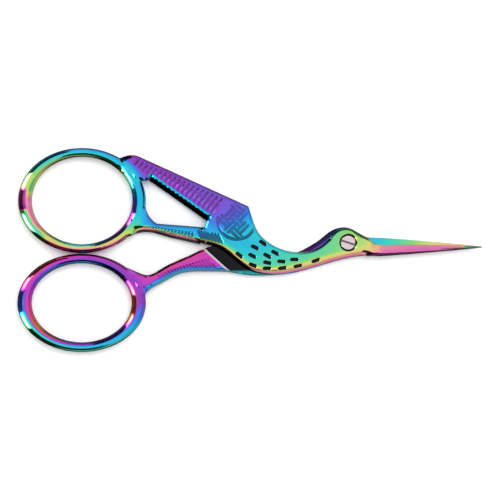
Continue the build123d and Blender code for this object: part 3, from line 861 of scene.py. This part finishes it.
        # The rear half's carving is painted with lighter shade
        carving_dark = 0.26
    shade = calculate(tree, "MAXIMUM", shade, rim)
    inputs = {
        "Film": film,
        "Slope down": calculate(tree, "MULTIPLY", facing.outputs["Y"], -1.0),
        "Facing up": calculate(tree, "SUBTRACT", upward, blend_value(tree, smooth_parts, 0.17, 0.0)),
        "Carving": carving,
        "Carving dark": blend_value(tree, feathers, carving_dark, 1.0),
        "Carving shift": blend_value(tree, feathers, -0.03 if front_side else 0.02, 0.0),
        "Edge": wear_and_highlight,
        "Slope share": blend_value(tree, bevel, blend_value(tree, band, 0.5, 0.25), 0.08),
        "Up share": blend_value(tree, band, 0.04, 0.14),
        "Shade": shade,
        "Steep dark": darkest,
    }
    group = tree.nodes.new("ShaderNodeGroup")
    group.node_tree = PLATED_FILM
    for socket, value in inputs.items():
        if isinstance(value, bpy.types.NodeSocket):
            tree.links.new(value, group.inputs[socket])
        else:
            group.inputs[socket].default_value = value
    tree.links.new(group.outputs["Color"], shader.inputs["Base Color"])
    shader.inputs["Specular Tint"].default_value = (0.30, 0.26, 0.36, 1.0)
    shader.inputs["Coat Weight"].default_value = 0.3
    shader.inputs["Coat Roughness"].default_value = 0.08
    finish_metal(tree, shader, 0.06, 0.06, carving, 0.25)
    return material


def bare_steel():
    """Turned and tumbled bare steel, for the screw."""
    material, tree, shader = new_material("bare_screw_steel")
    coords = tree.nodes.new("ShaderNodeTexCoord").outputs["Object"]
    rings = add_node(
        tree,
        "ShaderNodeTexWave",
        {"Vector": coords, "Scale": 5200.0, "Distortion": 0.6, "Detail": 1.0},
        wave_type="RINGS",
        rings_direction="Z",
    )
    tone = blend_colour(tree, rings.outputs["Fac"], *[from_srgb(*colour) for colour in STEEL_TONES])
    height = add_node(tree, "ShaderNodeSeparateXYZ", {0: coords}).outputs["Z"]
    # The slot's floor is darkened as painted shade
    slot = ease(tree, height, SCREW_TOP - 0.16 * MM, SCREW_TOP - 0.32 * MM, 0.0, 0.8)
    tone = blend_colour(tree, slot, tone, from_srgb(*SLOT_SHADE))
    tree.links.new(tone, shader.inputs["Base Color"])
    finish_metal(tree, shader, 0.22, 0.12, None, 0.3)
    return material


# The pivot screw, in metres and degrees
SHANK = 1.2 * MM
HEAD_HEIGHT = 0.95 * MM
HEAD_DOME = 0.08 * MM
HEAD_CHAMFER = 0.22 * MM
END_CHAMFER = 0.12 * MM
SLOT_SIZE = (0.5 * MM, 0.8 * MM)
SLOT_TURN = -18


def pivot_screw():
    """A slotted screw with a chamfered, slightly domed head, turned about the pivot axis."""
    low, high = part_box("pivot_screw")
    head = (high.x - low.x) / 2
    profile = [
        (0.0, high.z),
        (head * 0.45, high.z - 0.02 * MM),
        (head - HEAD_CHAMFER, high.z - HEAD_DOME),
        (head, high.z - HEAD_DOME - HEAD_CHAMFER),
        (head, high.z - HEAD_HEIGHT),
        (SHANK, high.z - HEAD_HEIGHT),
        (SHANK, low.z + END_CHAMFER),
        (SHANK - END_CHAMFER, low.z),
        (0.0, low.z),
    ]
    form = bmesh.new()
    corners = [form.verts.new((radius, 0, height)) for radius, height in profile]
    edges = [form.edges.new(pair) for pair in zip(corners, corners[1:])]
    line = corners + edges
    whole = 2 * math.pi
    bmesh.ops.spin(form, geom=line, cent=(0, 0, 0), axis=(0, 0, 1), angle=whole, steps=96, use_merge=True)
    bmesh.ops.remove_doubles(form, verts=form.verts, dist=0.001 * MM)
    bmesh.ops.recalc_face_normals(form, faces=form.faces)
    mesh = bpy.data.meshes.new("slotted_pivot_screw")
    form.to_mesh(mesh)
    form.free()
    screw = bpy.data.objects.new("slotted_pivot_screw", mesh)
    bpy.context.scene.collection.objects.link(screw)

    cutter_form = bmesh.new()
    bmesh.ops.create_cube(cutter_form, size=1.0)
    bmesh.ops.scale(cutter_form, vec=(4 * head, *SLOT_SIZE), verts=cutter_form.verts)
    bmesh.ops.translate(cutter_form, vec=(0, 0, high.z), verts=cutter_form.verts)
    turn = math.radians(SLOT_TURN)
    spin = [[math.cos(turn), -math.sin(turn), 0], [math.sin(turn), math.cos(turn), 0], [0, 0, 1]]
    for vert in cutter_form.verts:
        vert.co = Vector([sum(row[i] * vert.co[i] for i in range(3)) for row in spin])
    cutter_mesh = bpy.data.meshes.new("slot_cutter")
    cutter_form.to_mesh(cutter_mesh)
    cutter_form.free()
    cutter = bpy.data.objects.new("slot_cutter", cutter_mesh)
    bpy.context.scene.collection.objects.link(cutter)
    with_modifier(screw, "BOOLEAN", operation="DIFFERENCE", object=cutter, solver="EXACT")
    bpy.data.objects.remove(cutter)
    sharp = math.radians(30)
    with_modifier(screw, "BEVEL", width=0.035 * MM, segments=2, limit_method="ANGLE", angle_limit=sharp)
    for polygon in screw.data.polygons:
        polygon.use_smooth = True
    with_modifier(screw, "WEIGHTED_NORMAL", keep_sharp=True)
    screw.data.materials.clear()
    screw.data.materials.append(bare_steel())
    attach(screw, "rear")
    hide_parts("pivot_screw")


# Table, light and camera

def table():
    """A plain pale table."""
    form = bmesh.new()
    bmesh.ops.create_circle(form, cap_ends=True, segments=96, radius=1.5)
    bmesh.ops.translate(form, vec=(0, 0, -0.01 * MM), verts=form.verts)
    mesh = bpy.data.meshes.new("table_top")
    form.to_mesh(mesh)
    form.free()
    floor = bpy.data.objects.new("table_top", mesh)
    bpy.context.scene.collection.objects.link(floor)
    material, _, shader = new_material("pale_table")
    shader.inputs["Base Color"].default_value = (0.93, 0.93, 0.93, 1.0)
    shader.inputs["Roughness"].default_value = 0.9
    shader.inputs["Specular IOR Level"].default_value = 0.0
    mesh.materials.append(material)
    floor.visible_glossy = False
    floor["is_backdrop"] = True


# The light tent by the turn in degrees from the beak's side: how bright its wall is, how high the wall
# reaches, as the upward part of the direction, and how bright the table looks from there
TENT_WALL = [
    (0, 0.063), (40, 0.07), (102, 0.07), (110, 0.0017), (145, 0.0017), (148, 0.6), (161, 0.6),
    (165, 0.008), (194, 0.008), (197, 0.6), (213, 0.6), (217, 0.0017), (276, 0.0017), (292, 0.047),
    (345, 0.047), (360, 0.063),
]
TENT_SCALE = 12.0
ROOF_LIGHT = 0.97
WALL_TOP = [
    (0, 0.45), (40, 0.40), (100, 0.40), (112, 0.88), (145, 0.90), (149, 0.84), (160, 0.84), (166, 0.92),
    (193, 0.92), (197, 0.84), (212, 0.84), (218, 0.90), (230, 0.91), (276, 0.88), (292, 0.50), (360, 0.45),
]
TABLE_LIGHT = [
    (0, 0.95), (102, 0.95), (110, 0.30), (145, 0.30), (150, 0.90), (162, 0.90), (168, 0.20), (192, 0.20),
    (198, 0.90), (212, 0.90), (218, 0.03), (244, 0.03), (258, 0.95), (360, 0.95),
]


def studio():
    """Plain white light, and for what the metal mirrors a tent with dark gaps and two bright panels."""
    world = bpy.data.worlds.new("light_tent")
    bpy.context.scene.world = world
    world.use_nodes = True
    tree = world.node_tree
    tree.nodes.clear()
    direction = tree.nodes.new("ShaderNodeTexCoord").outputs["Generated"]
    aim = add_node(tree, "ShaderNodeSeparateXYZ", {0: direction})
    turn = calculate(tree, "ARCTAN2", aim.outputs["Y"], aim.outputs["X"])
    turn = calculate(tree, "FLOORED_MODULO", calculate(tree, "MULTIPLY", turn, 180 / math.pi), 360.0)
    wall = calculate(tree, "MULTIPLY", curve_along(tree, turn, TENT_WALL), TENT_SCALE)
    above_table = ease(tree, aim.outputs["Z"], -0.25, -0.02)
    low_light = blend_value(tree, above_table, curve_along(tree, turn, TABLE_LIGHT), wall)
    above = calculate(tree, "SUBTRACT", aim.outputs["Z"], curve_along(tree, turn, WALL_TOP))
    roof = ease(tree, above, -0.04, 0.04)
    level = blend_value(tree, roof, low_light, ROOF_LIGHT)
    shade = add_node(tree, "ShaderNodeBackground", {"Color": (1.0, 1.0, 1.0, 1.0), "Strength": level})
    plain = add_node(tree, "ShaderNodeBackground", {"Color": (1.0, 1.0, 1.0, 1.0), "Strength": 1.0})
    mirrored = tree.nodes.new("ShaderNodeLightPath").outputs["Is Glossy Ray"]
    mix = add_node(tree, "ShaderNodeMixShader", {0: mirrored, 1: plain.outputs[0], 2: shade.outputs[0]})
    output = tree.nodes.new("ShaderNodeOutputWorld")
    tree.links.new(mix.outputs[0], output.inputs["Surface"])

    data = bpy.data.lights.new("overhead_softbox", "AREA")
    data.shape = "DISK"
    data.size = 0.5
    data.energy = 3.0
    lamp = bpy.data.objects.new("overhead_softbox", data)
    bpy.context.scene.collection.objects.link(lamp)
    lamp.location = (0.12, 0.22, 0.62)
    lamp.rotation_euler = (Vector((0, 0, 0)) - lamp.location).to_track_quat("-Z", "Y").to_euler()
    lamp.visible_glossy = False


# How much wider than the scissors the camera's view is
FRAME_MARGIN = 1.07


def camera():
    """Straight above the scissors, far off, so that the photograph's flat view is kept."""
    low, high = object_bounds()
    centre = (low + high) / 2
    data = bpy.data.cameras.new("camera")
    data.type = "PERSP"
    data.lens = 120
    data.sensor_width = 36
    seen = (high.x - low.x) * FRAME_MARGIN
    distance = seen * data.lens / data.sensor_width + high.z
    shot = bpy.data.objects.new("camera", data)
    bpy.context.scene.collection.objects.link(shot)
    shot.location = (centre.x, centre.y, distance)
    shot.rotation_euler = (0, 0, 0)
    data.clip_start = 0.01
    data.clip_end = 10
    bpy.context.scene.camera = shot


front = casting("front_half", "front_half_casting", "front", FRONT_RING, FRONT_BLENDS, TRIANGLES["front"])
rear = casting("rear_half", "rear_half_casting", "rear", REAR_RING, REAR_BLENDS, TRIANGLES["rear"])
for half, material in (
    (front, plated("rainbow_plating_front", True)),
    (rear, plated("rainbow_plating_rear", False)),
):
    half.data.materials.clear()
    half.data.materials.append(material)
pivot_screw()
table()
studio()
camera()
bpy.context.scene.view_settings.view_transform = "Standard"
